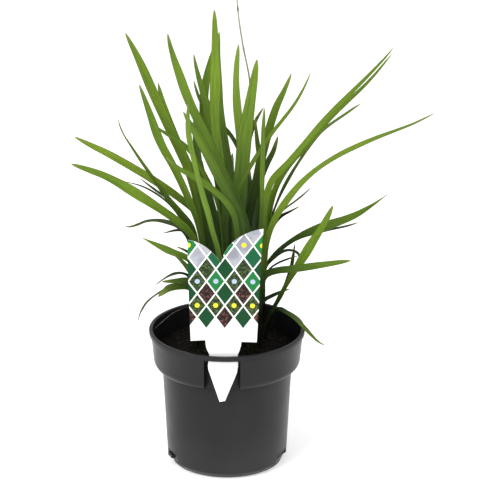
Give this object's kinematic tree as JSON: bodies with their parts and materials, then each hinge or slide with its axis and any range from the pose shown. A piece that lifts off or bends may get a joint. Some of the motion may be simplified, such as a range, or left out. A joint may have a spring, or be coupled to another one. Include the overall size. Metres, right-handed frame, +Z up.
{
  "type": "potted flax lily",
  "caption": "Tuft of green strap leaves with one thin flower stem, growing in a round black nursery pot with a plain notched plant label in its tag slot.",
  "frame": {"origin": "centre of the underside of the pot, on the surface it stands on", "axes": "+Z up along the pot's axis, -Y towards the front, where the tag slot and the label are, +X to the right seen from the front"},
  "size_m": [0.3126, 0.2, 0.448],
  "materials": {
    "pot_plastic": "satin",
    "potting_mix": "matte",
    "label_plastic": "satin",
    "leaf": "satin",
    "stem": "matte",
    "dry_leaf": "matte"
  },
  "bodies": {
    "root": {"pot": "pot_plastic", "potting_mix": "potting_mix", "plant_label": "label_plastic", "flower_stem": "stem", "dry_leaf": "dry_leaf", "back_shoot_leaf_1": "leaf", "back_shoot_leaf_2": "leaf", "back_shoot_leaf_3": "leaf", "back_shoot_leaf_4": "leaf", "back_shoot_leaf_5": "leaf", "centre_left_shoot_leaf_1": "leaf", "centre_left_shoot_leaf_2": "leaf", "centre_left_shoot_leaf_3": "leaf", "centre_left_shoot_leaf_4": "leaf", "centre_left_shoot_leaf_5": "leaf", "centre_right_shoot_leaf_1": "leaf", "centre_right_shoot_leaf_2": "leaf", "centre_right_shoot_leaf_3": "leaf", "centre_right_shoot_leaf_4": "leaf", "centre_right_shoot_leaf_5": "leaf", "centre_right_shoot_leaf_6": "leaf", "centre_right_shoot_leaf_7": "leaf", "centre_shoot_leaf_1": "leaf", "centre_shoot_leaf_2": "leaf", "centre_shoot_leaf_3": "leaf", "centre_shoot_leaf_4": "leaf", "left_shoot_leaf_1": "leaf", "left_shoot_leaf_2": "leaf", "left_shoot_leaf_3": "leaf", "left_shoot_leaf_4": "leaf", "left_shoot_leaf_5": "leaf", "left_shoot_leaf_6": "leaf", "left_shoot_leaf_7": "leaf", "left_shoot_leaf_8": "leaf", "left_shoot_leaf_9": "leaf", "left_shoot_leaf_10": "leaf", "left_shoot_leaf_11": "leaf", "low_left_shoot_leaf_1": "leaf", "low_left_shoot_leaf_2": "leaf", "low_left_shoot_leaf_3": "leaf", "low_left_shoot_leaf_4": "leaf", "low_left_shoot_leaf_5": "leaf", "low_left_shoot_leaf_6": "leaf", "low_left_shoot_leaf_7": "leaf", "low_right_shoot_leaf_1": "leaf", "low_right_shoot_leaf_2": "leaf", "low_right_shoot_leaf_3": "leaf", "low_right_shoot_leaf_4": "leaf", "low_right_shoot_leaf_5": "leaf", "low_right_shoot_leaf_6": "leaf", "low_right_shoot_leaf_7": "leaf", "low_right_shoot_leaf_8": "leaf", "low_right_shoot_leaf_9": "leaf", "right_shoot_leaf_1": "leaf", "right_shoot_leaf_2": "leaf", "right_shoot_leaf_3": "leaf", "right_shoot_leaf_4": "leaf", "right_shoot_leaf_5": "leaf", "right_shoot_leaf_6": "leaf", "right_shoot_leaf_7": "leaf"}
  },
  "joints": []
}
